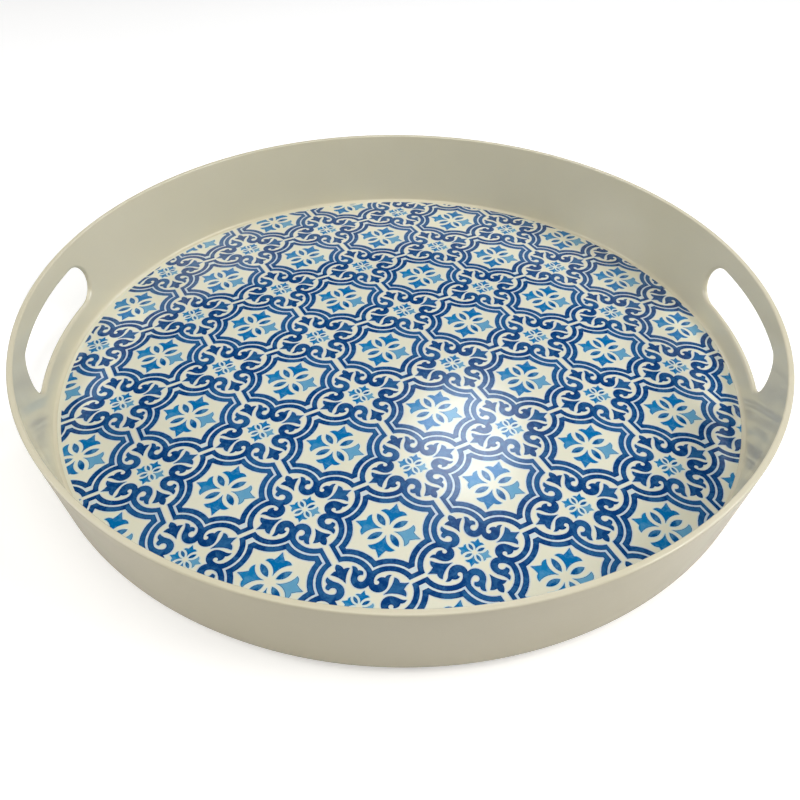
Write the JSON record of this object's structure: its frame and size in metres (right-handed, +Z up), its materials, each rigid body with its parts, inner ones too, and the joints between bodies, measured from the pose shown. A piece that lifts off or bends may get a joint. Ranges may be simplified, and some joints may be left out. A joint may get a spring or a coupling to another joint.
{
  "type": "round serving tray",
  "caption": "Round moulded tray: flared wall, soft-edged rim, opposed stadium hand slots, crowned floor with a tile-pattern printed foil under clear glaze.",
  "frame": {"origin": "centre of the plane that the foot ring stands on", "axes": "+Z up through the middle of the tray, X through the middles of the hand slots"},
  "size_m": [0.4, 0.4, 0.052],
  "materials": {
    "melamine": "satin cream moulded melamine",
    "foil": "blue tile pattern printed on cream foil",
    "glaze": "clear gloss"
  },
  "bodies": {
    "root": {"tray_body": "melamine", "printed_foil": "foil", "glaze_layer": "glaze"}
  },
  "joints": []
}
